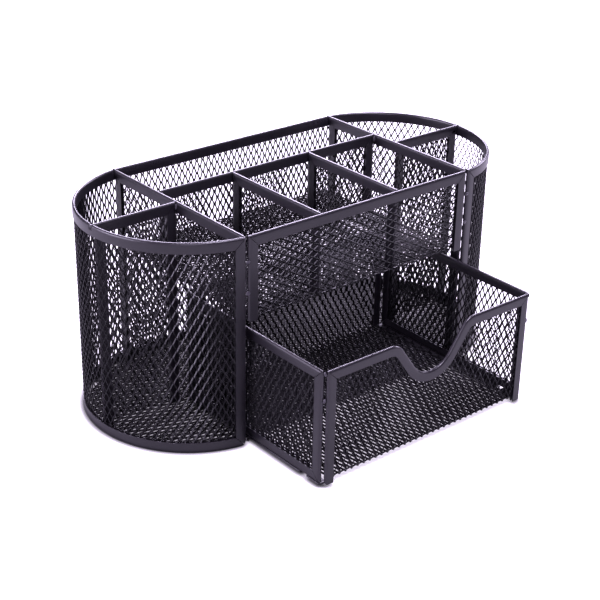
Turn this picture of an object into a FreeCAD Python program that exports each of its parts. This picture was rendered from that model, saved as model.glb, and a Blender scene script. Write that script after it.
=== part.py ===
import FreeCAD, Part
import math
import os

# A desk organizer of black expanded steel mesh: a rectangular middle bay between two
# rounded ends, with open compartments above and a drawer that slides out at the front.
# Millimetres. X runs to the right, Y to the back, Z up. The drawer is drawn half open.
# The origin lies on the table. The functions build about the middle of the body, and the
# last step shifts the origin to the middle of the whole stand with its drawer out.

Vec = FreeCAD.Vector

# Body, measured between the mid-planes of its sheets
body_height = 105.0
body_depth = 104.0
bay_width = 136.6
end_bulge = 45.4
rear_bend_radius = 8.0

# Compartments
shelf_underside = 63.4
long_divider_y = 15.2
small_divider_x = (-24.7, 22.8)
end_divider_y = -0.4
front_panel_bottom = 63.3
front_panel_gap = 1.0

# Drawer
drawer_width = 130.0
drawer_top = 58.5
drawer_open = 50.0
drawer_back_clearance = 0.5
drawer_slide_clearance = 0.3
drawer_bend_radius = 3.0
runner_width = 4.2
runner_thickness = 0.9
runner_slit = 3.3
runner_front_tab = 9.5

# Finger notch in the top edge of the drawer front
notch_depth = 20.3
notch_half_width = 26.0
notch_flank_angle = 55.0
notch_shoulder_radius = 9.0

# Expanded mesh. Its lattice is several times coarser than the real one, with the same
# share of openings, so that the solids stay light
sheet = 0.8
mesh_long = 50.0
mesh_short = 28.0
opening_share = 0.8
smallest_opening = 120.0
mesh_margin = 2.0
shelf_bend_radius = 2.0

# Folded channel that edges every sheet
channel_height = 5.2
drawer_channel_height = 4.7
channel_wall = 0.5
slot_clearance = 0.05
fold_bevel = 0.55
mitre_gap = 0.24
post_corner_radius = 3.0
band_corner_radius = 1.5

# The outer wall is made in two halves that butt near the middle of the back. Its sheets sit
# less deep in their top rims, so that the divider rims can lap over them
seam_x = 2.4
seam_gap = 0.12
outer_sheet_insert = 2.2
lap_depth = 2.6
lap_clearance = 0.3

# The floor hangs just clear of the table
floor_underside = 0.2

# Spot welds
front_bead_radius = 1.1
front_bead_stand = 0.7
front_bead_sides = 6
front_bead_heights = (93.0, 78.0)
corner_bead_radius = 1.2
corner_bead_length = 2.2
corner_bead_heights = (57.2, 44.0)
joint_bead_leg = 1.1
joint_bead_length = 3.0

# Sizes that follow from the ones above
slot = sheet + 2 * slot_clearance
channel = slot + 2 * channel_wall
half_channel = channel / 2
half_sheet = sheet / 2
sheet_seat = channel_wall + slot_clearance
mitre_shift = mitre_gap * math.sqrt(0.5)
front_y = -body_depth / 2
back_y = body_depth / 2
divider_x = bay_width / 2
bay_half = divider_x - half_channel
end_radius = (back_y ** 2 + end_bulge ** 2) / (2 * end_bulge)
end_centre_x = divider_x + end_bulge - end_radius
end_angle = math.asin(back_y / end_radius)
end_tip_x = divider_x + end_bulge
rear_bend_y = back_y - rear_bend_radius
rear_bend_x = end_centre_x + math.sqrt((end_radius - rear_bend_radius) ** 2 - rear_bend_y ** 2)
rear_angle = math.atan2(rear_bend_y, rear_bend_x - end_centre_x)
end_arc = (end_angle + rear_angle) * end_radius
floor_top = floor_underside + sheet
shelf_top = shelf_underside + sheet
front_half = divider_x - front_panel_gap
drawer_bottom = floor_top + drawer_slide_clearance
drawer_base = drawer_bottom + runner_thickness
drawer_half = drawer_width / 2
drawer_inner_half = drawer_half - channel
drawer_front_face = front_y - half_channel - drawer_open
drawer_back_face = back_y - half_channel - drawer_back_clearance - drawer_open
drawer_side_length = drawer_back_face - drawer_front_face - 2 * channel
spare = 1.0
cutter_reach = 8.0

up = Vec(0, 0, 1)
parts = {}


# ---- Outlines and placing ----------------------------------------------------------

def polygon(points):
    """Flat face inside a closed run of points."""
    return Part.Face(Part.makePolygon(points + [points[0]]))


def upright_polygon(points):
    """Face in the plane of a panel, from pairs of length and height."""
    return polygon([Vec(x, 0, z) for x, z in points])


def rectangle(x_low, x_high, z_low, z_high):
    return upright_polygon([(x_low, z_low), (x_high, z_low), (x_high, z_high), (x_low, z_high)])


def block(low, high):
    size = high - low
    return Part.makeBox(size.x, size.y, size.z, low)


def closed_face(edges):
    return Part.Face(Part.Wire(Part.__sortEdges__(edges)))


def line(start, end):
    return Part.LineSegment(start, end).toShape()


def thicken(face, thickness):
    """Solid of an upright face, centred on its plane."""
    solid = face.extrude(Vec(0, thickness, 0))
    solid.translate(Vec(0, -thickness / 2, 0))
    return solid


def flipped_x(point):
    return Vec(-point.x, point.y, point.z)


def mirrored(shape, x=0.0):
    """The same shape on the other side of the upright plane at x."""
    return shape.mirror(Vec(x, 0, 0), Vec(1, 0, 0))


def stood(shape, x, y, turn=0.0):
    """A panel drawn along X from the origin, turned about Z and put in its place."""
    copy = shape.copy()
    copy.rotate(Vec(0, 0, 0), up, turn)
    copy.translate(Vec(x, y, 0))
    return copy


def laid(shape, height):
    """An upright sheet laid flat, so that its height runs to the back."""
    copy = shape.copy()
    copy.rotate(Vec(0, 0, 0), Vec(1, 0, 0), -90)
    copy.translate(Vec(0, 0, height))
    return copy


def rounded_path(points, radii):
    """Edges along an open run of points, with each inner corner rounded by its radius."""
    edges = []
    start = points[0]
    for before, corner, after, radius in zip(points, points[1:], points[2:], radii):
        back = (before - corner).normalize()
        ahead = (after - corner).normalize()
        half_opening = back.getAngle(ahead) / 2
        reach = radius / math.tan(half_opening)
        arc_start = corner + back * reach
        arc_end = corner + ahead * reach
        arc_middle = corner + (back + ahead).normalize() * (radius / math.sin(half_opening) - radius)
        if start.distanceToPoint(arc_start) > 1e-6:
            edges.append(line(start, arc_start))
        edges.append(Part.Arc(arc_start, arc_middle, arc_end).toShape())
        start = arc_end
    edges.append(line(start, points[-1]))
    return edges


def corner_rounder(radius):
    """What a rounding takes off a square corner at the origin whose solid lies at +X and +Z."""
    inset = radius * (1 - math.sqrt(0.5))
    edges = [
        Part.Arc(Vec(radius, 0, 0), Vec(inset, 0, inset), Vec(0, 0, radius)).toShape(),
        line(Vec(0, 0, radius), Vec(-spare, 0, radius)),
        line(Vec(-spare, 0, radius), Vec(-spare, 0, -spare)),
        line(Vec(-spare, 0, -spare), Vec(radius, 0, -spare)),
        line(Vec(radius, 0, -spare), Vec(radius, 0, 0)),
    ]
    return thicken(closed_face(edges), cutter_reach)


# ---- Expanded mesh -----------------------------------------------------------------

def openings(window, long_way_up=True):
    """Diamond faces of the mesh, staggered from the middle of an upright window and trimmed to it."""
    short, long = mesh_short, mesh_long
    pitch_x, pitch_z = (short, long) if long_way_up else (long, short)
    half_x = pitch_x * opening_share / 2
    half_z = pitch_z * opening_share / 2
    box = window.BoundBox
    columns = math.ceil(box.XLength / pitch_x) + 1
    rows = math.ceil(box.ZLength / pitch_z / 2) + 1
    diamonds = []
    for column in range(-columns, columns + 1):
        x = box.Center.x + column * pitch_x / 2
        stagger = pitch_z / 2 * (column % 2)
        for row in range(-rows, rows):
            z = box.Center.z + row * pitch_z + stagger
            diamonds.append(upright_polygon([(x - half_x, z), (x, z - half_z), (x + half_x, z), (x, z + half_z)]))
    trimmed = window.common(Part.makeCompound(diamonds))
    return [face for face in trimmed.Faces if face.Area > smallest_opening]


def lattice(outline, window):
    """Flat upright sheet with the openings of the mesh inside its window."""
    holes = [face.OuterWire for face in openings(window)]
    return thicken(Part.makeFace([outline.OuterWire] + holes, "Part::FaceMakerBullseye"), sheet)


def cutters(window, long_way_up=True):
    """Solids that cut the openings of a window through a sheet in the same plane."""
    return [thicken(face, cutter_reach) for face in openings(window, long_way_up)]


# ---- Folded channels ---------------------------------------------------------------

def channel_section(height):
    """Outline of a channel across its length, with its bevelled fold on top at Z = 0."""
    side = [(half_channel, -height), (half_channel, -fold_bevel), (half_channel - fold_bevel, 0)]
    outline = side + [(-y, z) for y, z in reversed(side)]
    return Part.makePolygon([Vec(0, y, z) for y, z in outline + outline[:1]])


def channel_bar(length, height):
    """Solid bar along X, with its fold on top at Z = 0."""
    return Part.Face(channel_section(height)).extrude(Vec(length, 0, 0))


def edged_panel(length, bottom, top, height, foot_rim=False, corner_radius=0.0):
    """Channels round an upright panel that runs along X from the origin, mitred where they meet.

    The panel always has a top rim and a band at each end; the foot rim is optional."""
    out = height + spare
    shift = mitre_shift
    groove_bottom = bottom + channel_wall if foot_rim else bottom - spare
    groove = thicken(rectangle(channel_wall, length - channel_wall, groove_bottom, top - channel_wall), slot)

    top_bar = channel_bar(length, height)
    top_bar.translate(Vec(0, 0, top))
    top_trim = upright_polygon([
        (shift - spare, top + spare),
        (length - shift + spare, top + spare),
        (length - shift - out, top - out),
        (shift + out, top - out),
    ])
    top_rim = top_bar.common(thicken(top_trim, cutter_reach))

    band_bar = channel_bar(top - bottom, height)
    band_bar.rotate(Vec(0, 0, 0), Vec(0, 1, 0), -90)
    band_bar.translate(Vec(0, 0, bottom))
    mitred = 1 if foot_rim else 0
    band_trim = upright_polygon([
        (-spare, bottom + mitred * (shift - spare)),
        (out, bottom + mitred * (shift + out)),
        (out, top - out - shift),
        (-spare, top + spare - shift),
    ])
    band = band_bar.common(thicken(band_trim, cutter_reach)).cut(groove)

    pieces = {"top_rim": top_rim.cut(groove)}
    if foot_rim:
        foot_bar = channel_bar(length, height)
        foot_bar.rotate(Vec(0, 0, 0), Vec(1, 0, 0), 180)
        foot_bar.translate(Vec(0, 0, bottom))
        foot_trim = upright_polygon([
            (shift - spare, bottom - spare),
            (length - shift + spare, bottom - spare),
            (length - shift - out, bottom + out),
            (shift + out, bottom + out),
        ])
        pieces["foot_rim"] = foot_bar.common(thicken(foot_trim, cutter_reach)).cut(groove)
    if corner_radius:
        rounder = corner_rounder(corner_radius)
        rounder.translate(Vec(0, 0, bottom))
        band = band.cut(rounder)
        if foot_rim:
            both = Part.makeCompound([rounder, mirrored(rounder, length / 2)])
            pieces["foot_rim"] = pieces["foot_rim"].cut(both)
    pieces["start_band"] = band
    pieces["end_band"] = mirrored(band, length / 2)
    return pieces


def panel_mesh(length, bottom, top, height, foot_rim=False):
    """Sheet of an edged panel, seated in its channels."""
    foot = bottom + sheet_seat if foot_rim else bottom
    window_foot = bottom + height if foot_rim else bottom + mesh_margin
    outline = rectangle(sheet_seat, length - sheet_seat, foot, top - sheet_seat)
    return lattice(outline, rectangle(height, length - height, window_foot, top - height))


# ---- Outer wall --------------------------------------------------------------------

def end_point(offset, angle, side):
    """Point on a rounded end, offset outwards from its sheet. The angle runs from the tip to the back."""
    reach = end_radius + offset
    return Vec(side * (end_centre_x + reach * math.cos(angle)), reach * math.sin(angle), 0)


def wall_line(offset, front_angle=-end_angle):
    """Plan of the outer wall, offset outwards, from its left front end round the back to the right one."""
    bend = Vec(-rear_bend_x, rear_bend_y, 0)
    middle = math.radians(90) - (math.radians(90) - rear_angle) / 2
    reach = rear_bend_radius + offset
    bend_end = bend + Vec(0, reach, 0)
    bend_middle = bend + Vec(-reach * math.cos(middle), reach * math.sin(middle), 0)
    angles = (front_angle, (front_angle + rear_angle) / 2, rear_angle)
    start, tip, join = [end_point(offset, angle, -1) for angle in angles]
    left = [Part.Arc(start, tip, join).toShape(), Part.Arc(join, bend_middle, bend_end).toShape()]
    right = [mirrored(edge) for edge in left]
    return left + [line(bend_end, flipped_x(bend_end))] + right


def wall_face(half_thickness, trim=0.0):
    front_angle = trim / end_radius - end_angle
    caps = []
    for side in (-1, 1):
        caps.append(line(*[end_point(way * half_thickness, front_angle, side) for way in (-1, 1)]))
    return closed_face(wall_line(-half_thickness, front_angle) + wall_line(half_thickness, front_angle) + caps)


def raised(face, low, high):
    solid = face.extrude(Vec(0, 0, high - low))
    solid.translate(Vec(0, 0, low))
    return solid


def left_end_sector(half_thickness, start, stop):
    """Plan of a short run of the left end of the outer wall, by distance from its front end."""
    angles = [distance / end_radius - end_angle for distance in (start, (start + stop) / 2, stop)]
    first, second = [
        [end_point(offset, angle, -1) for angle in angles]
        for offset in (-half_thickness, half_thickness)
    ]
    edges = [Part.Arc(*first).toShape(), Part.Arc(*second).toShape()]
    edges += [line(first[end], second[end]) for end in (0, 2)]
    return closed_face(edges)


def at_left_front_end(shape, distance=0.0):
    """A shape drawn in a panel's plane, set across the outer wall at a distance from its front end."""
    angle = distance / end_radius - end_angle
    spot = end_point(0, angle, -1)
    heading = math.degrees(math.atan2(math.cos(angle), math.sin(angle)))
    return stood(shape, spot.x, spot.y, heading)


def bevelled(solid, chosen):
    return solid.makeChamfer(fold_bevel, [edge for edge in solid.Edges if chosen(edge)])


def both_ends(shape):
    return Part.makeCompound([shape, mirrored(shape)])


def add_halves(name, shape):
    """Left and right half of a shape that runs round the wall, with a narrow seam between them."""
    box = shape.BoundBox
    low = Vec(box.XMin - spare, box.YMin - spare, box.ZMin - spare)
    high = Vec(box.XMax + spare, box.YMax + spare, box.ZMax + spare)
    edge = seam_gap / 2
    parts["left_" + name] = shape.common(block(low, Vec(seam_x - edge, high.y, high.z)))
    parts["right_" + name] = shape.common(block(Vec(seam_x + edge, low.y, low.z), high))


def flipped(shape):
    """The same shape upside down at the middle of the body's height."""
    return shape.mirror(Vec(0, 0, body_height / 2), up)


def build_outer_wall():
    height = channel_height
    top = body_height
    out = height + spare

    def on_rim_fold(edge):
        return edge.BoundBox.ZMin > top - spare / 2 and abs(edge.Length - channel) > spare / 2

    foot_rim = raised(wall_face(half_channel), top - height, top)
    rim = bevelled(foot_rim, on_rim_fold)
    groove = raised(wall_face(slot / 2), top - out, top - channel_wall)
    rim_mitre = thicken(upright_polygon([
        (mitre_shift - spare, top + spare),
        (mitre_shift + out, top - out),
        (-out, top - out),
        (-out, top + spare),
    ]), cutter_reach)
    rim, foot_rim = [bar.cut(groove).cut(both_ends(at_left_front_end(rim_mitre))) for bar in (rim, foot_rim)]

    post = raised(left_end_sector(half_channel, 0, height), 0, top)
    cap_centre = at_left_front_end(Part.Vertex(0, 0, 0)).Point

    def on_post_fold(edge):
        ends = [vertex.Point for vertex in edge.Vertexes]
        tall = abs(ends[0].z - ends[-1].z) > top / 2
        return tall and math.hypot(ends[0].x - cap_centre.x, ends[0].y - cap_centre.y) < channel

    post = bevelled(post, on_post_fold)
    post_groove = raised(left_end_sector(slot / 2, channel_wall, out), channel_wall, top - channel_wall)
    post_mitre = at_left_front_end(thicken(upright_polygon([
        (-spare, top + spare - mitre_shift),
        (out, top - out - mitre_shift),
        (out, top + out),
        (-spare, top + out),
    ]), cutter_reach))
    rounder = at_left_front_end(corner_rounder(post_corner_radius))
    post = post.cut(Part.makeCompound([post_mitre, flipped(post_mitre)])).cut(post_groove).cut(rounder)

    laps = []
    half = half_channel + lap_clearance
    for side in (-1, 1):
        spots = [(side * divider_x, back_y, half, channel), (side * end_tip_x, end_divider_y, channel, half)]
        for x, y, reach_x, reach_y in spots:
            low = Vec(x - reach_x, y - reach_y, top - lap_depth)
            laps.append(block(low, Vec(x + reach_x, y + reach_y, top + spare)))
    add_halves("outer_top_rim", rim.cut(Part.makeCompound(laps)))
    add_halves("outer_bottom_rim", flipped(foot_rim).cut(both_ends(rounder)))
    parts["left_front_post"] = post
    parts["right_front_post"] = mirrored(post)

    shell = raised(wall_face(half_sheet, sheet_seat), sheet_seat, top - height + outer_sheet_insert)
    back_half = rear_bend_x - mesh_margin
    back_window = rectangle(-back_half, back_half, height, top - height)
    tools = [stood(tool, 0, back_y) for tool in cutters(back_window)]
    for face in openings(rectangle(height, end_arc - mesh_margin, height, top - height)):
        middle = face.CenterOfMass.x
        centred = face.copy()
        centred.translate(Vec(-middle, 0, 0))
        tool = at_left_front_end(thicken(centred, cutter_reach), middle)
        tools += [tool, mirrored(tool)]
    add_halves("outer_wall_mesh", shell.cut(Part.makeCompound(tools)))


# ---- Floor, shelf and front panel --------------------------------------------------

def plan_region(inset):
    """Plan of the body inside its outer wall, drawn upright, with a straight front edge."""
    plan = wall_line(-inset)
    front = line(end_point(-inset, -end_angle, -1), end_point(-inset, -end_angle, 1))
    face = closed_face(plan + [front])
    face.rotate(Vec(0, 0, 0), Vec(1, 0, 0), 90)
    return face


def build_floor():
    inset = half_channel + slot_clearance
    plate = lattice(plan_region(inset), plan_region(inset + mesh_margin))
    parts["floor_mesh"] = laid(plate, floor_underside + half_sheet)


def build_front_panel():
    """One sheet is the front panel and, bent back at its foot, the shelf over the drawer."""
    height = channel_height
    shelf_back = back_y - half_sheet
    sheet_top = body_height - sheet_seat
    inner, outer = [
        [Vec(0, face, sheet_top), Vec(0, face, level), Vec(0, shelf_back, level)]
        for face, level in ((front_y + half_sheet, shelf_top), (front_y - half_sheet, shelf_underside))
    ]
    profile = closed_face(
        rounded_path(inner, [shelf_bend_radius])
        + rounded_path(outer, [shelf_bend_radius + sheet])
        + [line(inner[0], outer[0]), line(inner[-1], outer[-1])]
    )
    seat_half = front_half - sheet_seat
    bent = profile.extrude(Vec(2 * seat_half, 0, 0))
    bent.translate(Vec(-seat_half, 0, 0))

    bend_top = shelf_top + shelf_bend_radius
    bend_back = front_y + half_sheet + shelf_bend_radius
    band_room = block(
        Vec(front_half - height - spare / 4, front_y - channel, shelf_underside - spare),
        Vec(front_half + spare, front_y + half_channel + slot_clearance, bend_top),
    )
    front_window = rectangle(height - front_half, front_half - height, bend_top, body_height - height)
    shelf_window = rectangle(mesh_margin - seat_half, seat_half - mesh_margin, bend_back, shelf_back - mesh_margin)
    tools = [stood(tool, 0, front_y) for tool in cutters(front_window, long_way_up=False)]
    tools += [laid(tool, shelf_underside) for tool in cutters(shelf_window)]
    parts["front_panel_and_shelf_mesh"] = bent.cut(Part.makeCompound(tools + [both_ends(band_room)]))

    pieces = edged_panel(2 * front_half, front_panel_bottom, body_height, height, corner_radius=band_corner_radius)
    names = {"top_rim": "top_rim", "start_band": "left_band", "end_band": "right_band"}
    for key, name in names.items():
        parts["front_panel_" + name] = stood(pieces[key], -front_half, front_y)


# ---- Dividers ----------------------------------------------------------------------

def with_lap(pieces, top, height, reach, band):
    """Carries the top rim's upper half on past its start or end, to lap over the outer rim."""
    length = pieces["top_rim"].BoundBox.XMax + mitre_shift
    tongue = channel_bar(height + reach, lap_depth)
    tongue.translate(Vec(-reach, 0, top))
    if band == "end_band":
        tongue = mirrored(tongue, length / 2)
    slot_room = thicken(rectangle(channel_wall, length - channel_wall, top - height, top - channel_wall), slot)
    band_room = thicken(rectangle(-spare, length + spare, top - lap_depth - mitre_gap, top + spare), cutter_reach)
    pieces["top_rim"] = pieces["top_rim"].fuse(tongue.cut(slot_room)).removeSplitter()
    pieces[band] = pieces[band].cut(band_room)


def add_divider(name, pieces, mesh, x, y, turn, start, end):
    """Stands a divider's channels and sheet in place under names a person would use."""
    named = {"top_rim": "top_rim", "start_band": start, "end_band": end}
    for key, word in named.items():
        parts[f"{name}_{word}"] = stood(pieces[key], x, y, turn)
    parts[f"{name}_mesh"] = stood(mesh, x, y, turn)


def build_cross_dividers():
    outer_edge = divider_x + half_channel - end_centre_x
    half_length = math.sqrt((end_radius - half_channel) ** 2 - outer_edge ** 2)
    lap_end = math.sqrt((end_radius + half_channel) ** 2 - outer_edge ** 2)
    length = 2 * half_length
    pieces = edged_panel(length, floor_top, body_height, channel_height)
    with_lap(pieces, body_height, channel_height, lap_end - half_length, "end_band")
    mesh = panel_mesh(length, floor_top, body_height, channel_height)
    for name, x in (("left_cross_divider", -divider_x), ("right_cross_divider", divider_x)):
        add_divider(name, pieces, mesh, x, -half_length, 90, "front_band", "rear_band")


def build_long_divider():
    length = 2 * bay_half
    pieces = edged_panel(length, shelf_top, body_height, channel_height)
    mesh = panel_mesh(length, shelf_top, body_height, channel_height)
    add_divider("long_divider", pieces, mesh, -bay_half, long_divider_y, 0, "left_band", "right_band")


def build_small_dividers():
    """Their front corners are rounded to clear the bend at the front of the shelf."""
    start = front_y + half_channel
    length = long_divider_y - half_channel - start
    pieces = edged_panel(length, shelf_top, body_height, channel_height)
    mesh = panel_mesh(length, shelf_top, body_height, channel_height)
    rounder = corner_rounder(shelf_bend_radius + spare)
    rounder.translate(Vec(0, 0, shelf_top))
    pieces["start_band"] = pieces["start_band"].cut(rounder)
    mesh = mesh.cut(rounder)
    for name, x in zip(("left_small_divider", "right_small_divider"), small_divider_x):
        add_divider(name, pieces, mesh, x, start, 90, "front_band", "rear_band")


def build_end_dividers():
    inner_x = divider_x + half_channel
    outer_x = end_tip_x - half_channel - slot_clearance
    length = outer_x - inner_x
    pieces = edged_panel(length, floor_top, body_height, channel_height)
    with_lap(pieces, body_height, channel_height, channel, "end_band")
    mesh = panel_mesh(length, floor_top, body_height, channel_height)
    add_divider("right_end_divider", pieces, mesh, inner_x, end_divider_y, 0, "inner_band", "outer_band")
    for word in ("top_rim", "inner_band", "outer_band", "mesh"):
        parts["left_end_divider_" + word] = mirrored(parts["right_end_divider_" + word])


# ---- Drawer ------------------------------------------------------------------------

def notch_curve(offset):
    """Edge of the drawer front with its finger notch, moved down into the sheet by an offset."""
    flank = math.radians(notch_flank_angle)
    half_turn = math.tan(flank / 2)
    shoulder_x = notch_half_width - notch_shoulder_radius * half_turn
    foot_x = shoulder_x - notch_depth / math.tan(flank)
    foot_radius = foot_x / half_turn
    shoulder_x += offset * half_turn
    foot_x += offset * half_turn
    high = drawer_top - offset
    low = high - notch_depth
    far = drawer_inner_half
    spots = [(-far, high), (-shoulder_x, high), (-foot_x, low), (foot_x, low), (shoulder_x, high), (far, high)]
    shoulder, foot = notch_shoulder_radius - offset, foot_radius + offset
    return rounded_path([Vec(x, 0, z) for x, z in spots], [shoulder, foot, foot, shoulder])


def notch_band(upper, lower):
    """Upright face between two offsets of the notched edge."""
    first, second = notch_curve(upper), notch_curve(lower)
    far = drawer_inner_half
    caps = [line(Vec(x, 0, drawer_top - upper), Vec(x, 0, drawer_top - lower)) for x in (-far, far)]
    return closed_face(first + second + caps)


def above_notch(offset):
    """Upright face of all that lies above an offset of the notched edge."""
    far = drawer_inner_half
    over = drawer_top + spare
    low = drawer_top - offset
    spots = [Vec(-far, 0, low), Vec(-far, 0, over), Vec(far, 0, over), Vec(far, 0, low)]
    return closed_face(notch_curve(offset) + [line(start, end) for start, end in zip(spots, spots[1:])])


def notched_rim():
    height = drawer_channel_height
    top = drawer_top
    out = height + spare
    far = drawer_inner_half

    bar = thicken(notch_band(0, height), channel)
    crest = notch_curve(0)

    def on_crest(edge):
        middle = edge.valueAt((edge.FirstParameter + edge.LastParameter) / 2)
        on_side = abs(abs(middle.y) - half_channel) < 1e-6
        near = min(run.distToShape(Part.Vertex(middle.x, 0, middle.z))[0] for run in crest)
        return on_side and near < 1e-4

    bar = bevelled(bar, on_crest)
    groove = thicken(notch_band(channel_wall, out), slot).common(
        thicken(rectangle(channel_wall - far, far - channel_wall, 0, top), slot)
    )
    trim = thicken(upright_polygon([
        (mitre_shift - far - spare, top + spare),
        (far - mitre_shift + spare, top + spare),
        (far - mitre_shift - out, top - out),
        (far - mitre_shift - out, 0),
        (mitre_shift - far + out, 0),
        (mitre_shift - far + out, top - out),
    ]), cutter_reach)
    return bar.common(trim).cut(groove)


def build_drawer_front_and_back():
    """One sheet, folded twice, is the front, the floor and the back of the drawer."""
    height = drawer_channel_height
    front_mid = drawer_front_face + half_channel
    back_mid = drawer_back_face - half_channel
    sheet_top = drawer_top - sheet_seat
    inner_radius = drawer_bend_radius - sheet

    def fold(grow, radius):
        low = drawer_base + half_sheet - grow
        spots = [
            Vec(0, front_mid - grow, sheet_top),
            Vec(0, front_mid - grow, low),
            Vec(0, back_mid + grow, low),
            Vec(0, back_mid + grow, sheet_top),
        ]
        return rounded_path(spots, [radius, radius])

    inside, outside = fold(-half_sheet, inner_radius), fold(half_sheet, drawer_bend_radius)
    caps = [
        line(Vec(0, mid - half_sheet, sheet_top), Vec(0, mid + half_sheet, sheet_top))
        for mid in (front_mid, back_mid)
    ]
    seat_half = drawer_inner_half - sheet_seat
    wrap = closed_face(inside + outside + caps).extrude(Vec(2 * seat_half, 0, 0))
    wrap.translate(Vec(-seat_half, 0, 0))

    bend_top = drawer_base + drawer_bend_radius
    edge = drawer_inner_half - height
    upright = rectangle(-edge, edge, bend_top, drawer_top - height)
    notch = above_notch(height)
    front_cutters = cutters(upright.cut(notch))
    floor_window = rectangle(
        mesh_margin - seat_half, seat_half - mesh_margin,
        front_mid + drawer_bend_radius, back_mid - drawer_bend_radius,
    )
    tools = [stood(tool, 0, front_mid) for tool in front_cutters]
    tools += [stood(tool, 0, back_mid) for tool in cutters(upright)]
    tools += [laid(tool, drawer_base) for tool in cutters(floor_window)]
    tools.append(stood(thicken(above_notch(sheet_seat), cutter_reach), 0, front_mid))
    for mid, way in ((front_mid, 1), (back_mid, -1)):
        inner_face = mid + way * (half_channel + slot_clearance)
        outer_face = mid - way * channel
        tools.append(both_ends(block(
            Vec(edge - spare / 4, min(inner_face, outer_face), 0),
            Vec(drawer_half, max(inner_face, outer_face), bend_top),
        )))
    parts["drawer_front_floor_back_mesh"] = wrap.cut(Part.makeCompound(tools))

    length = 2 * drawer_inner_half
    pieces = edged_panel(length, drawer_bottom, drawer_top, height, corner_radius=band_corner_radius)
    for face, mid in (("front", front_mid), ("back", back_mid)):
        parts[f"drawer_{face}_left_band"] = stood(pieces["start_band"], -drawer_inner_half, mid)
        parts[f"drawer_{face}_right_band"] = stood(pieces["end_band"], -drawer_inner_half, mid)
    parts["drawer_back_rim"] = stood(pieces["top_rim"], -drawer_inner_half, back_mid)
    parts["drawer_front_notched_rim"] = stood(notched_rim(), 0, front_mid)


def build_drawer_sides():
    height = drawer_channel_height
    start = drawer_front_face + channel
    length = drawer_side_length
    pieces = edged_panel(length, drawer_base, drawer_top, height, foot_rim=True, corner_radius=band_corner_radius)
    pieces["mesh"] = panel_mesh(length, drawer_base, drawer_top, height, foot_rim=True)
    names = {
        "top_rim": "top_rim",
        "foot_rim": "foot_rim",
        "start_band": "front_band",
        "end_band": "rear_band",
        "mesh": "mesh",
    }
    runner_x = drawer_half - runner_width
    slit_start = start + runner_front_tab
    runner = Part.makeCompound([
        block(Vec(runner_x, y_low, drawer_bottom), Vec(drawer_half, y_high, drawer_base))
        for y_low, y_high in ((start, slit_start), (slit_start + runner_slit, start + length))
    ])
    for side, sign in (("left", -1), ("right", 1)):
        for key, word in names.items():
            parts[f"drawer_{side}_side_{word}"] = stood(pieces[key], sign * (drawer_half - half_channel), start, 90)
        parts[f"drawer_{side}_runner"] = runner if sign > 0 else mirrored(runner)


# ---- Spot welds --------------------------------------------------------------------

def front_bead(x, y, height):
    """Button of weld metal, which bridges the faces of two bands side by side."""
    corners = []
    for step in range(front_bead_sides):
        angle = 2 * math.pi * step / front_bead_sides
        corners.append(Vec(x + front_bead_radius * math.cos(angle), y, height + front_bead_radius * math.sin(angle)))
    return polygon(corners).extrude(Vec(0, -front_bead_stand, 0))


def joint_bead(x, y, side_x, side_y):
    """Fillet of weld metal under two rims' folds, in the upright corner between their faces."""
    low = body_height - fold_bevel - joint_bead_length
    corners = [Vec(x, y, low), Vec(x + side_x * joint_bead_leg, y, low), Vec(x, y + side_y * joint_bead_leg, low)]
    return polygon(corners).extrude(up * joint_bead_length)


def build_body_beads():
    gap_x = (divider_x + front_half) / 2
    beads = []
    for side, small_x in zip((-1, 1), small_divider_x):
        beads += [front_bead(side * gap_x, front_y - half_channel, height) for height in front_bead_heights]
        beads += [
            joint_bead(small_x + half_channel, front_y + half_channel, 1, 1),
            joint_bead(small_x + half_channel, long_divider_y - half_channel, 1, -1),
            joint_bead(side * bay_half, long_divider_y - half_channel, -side, -1),
            joint_bead(side * (divider_x + half_channel), end_divider_y - half_channel, side, -1),
        ]
    parts["body_weld_beads"] = Part.makeCompound(beads)


def build_drawer_beads():
    """Upright drops in the open groove between the folds of two bands at each corner of the drawer."""
    corner_x = drawer_half - channel
    beads = []
    for corner_y, way in ((drawer_front_face + channel, -1), (drawer_back_face - channel, 1)):
        for height in corner_bead_heights:
            low = height - corner_bead_length / 2
            corners = [
                Vec(corner_x, corner_y, low),
                Vec(corner_x + corner_bead_radius, corner_y, low),
                Vec(corner_x + corner_bead_radius, corner_y + way * corner_bead_radius, low),
                Vec(corner_x, corner_y + way * corner_bead_radius, low),
            ]
            drop = polygon(corners).extrude(up * corner_bead_length)
            beads += [drop, mirrored(drop)]
    parts["drawer_weld_beads"] = Part.makeCompound(beads)


build_outer_wall()
build_floor()
build_front_panel()
build_cross_dividers()
build_long_divider()
build_small_dividers()
build_end_dividers()
build_drawer_front_and_back()
build_drawer_sides()
build_body_beads()
build_drawer_beads()

os.makedirs("parts", exist_ok=True)
for name, shape in parts.items():
    shape.translate(Vec(0, drawer_open / 2, 0))
    shape.exportStep(f"parts/{name}.step")
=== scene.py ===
"""Looks of a black mesh pen stand: sheets of expanded steel, edged with folded channel, and a drawer.

Every sheet is a real lattice of strands that seats in its channels. Metres throughout.
"""

import math

import bmesh
import bpy
import numpy as np
from mathutils import Matrix, Vector


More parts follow.
